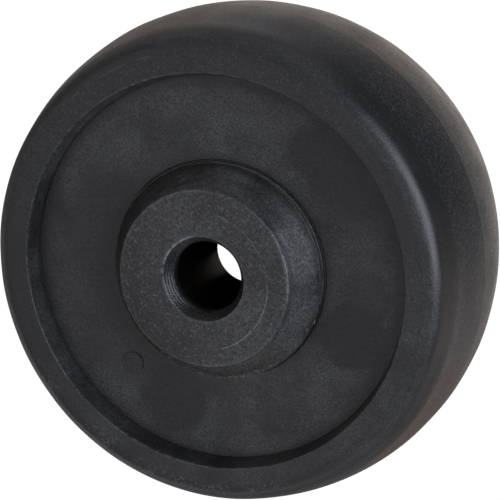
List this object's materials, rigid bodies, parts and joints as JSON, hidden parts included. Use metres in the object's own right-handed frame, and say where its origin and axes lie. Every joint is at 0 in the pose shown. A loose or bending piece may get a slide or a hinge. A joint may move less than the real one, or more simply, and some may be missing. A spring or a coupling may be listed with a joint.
{
  "type": "polyolefin wheel",
  "caption": "Round one-piece black wheel with a crowned tread, shallow recessed faces, a raised tapered hub and a plain axle bore.",
  "frame": {"origin": "on the axle's line, at half the tread's width, which is also the centre of the bounding box", "axes": "+Z along the axle's line, out of the front face; X and Y across the wheel"},
  "size_m": [0.08, 0.08, 0.04],
  "materials": {
    "black_polyolefin": "satin moulded plastic, lightly scuffed"
  },
  "bodies": {
    "root": {"wheel": "black_polyolefin"}
  },
  "joints": []
}
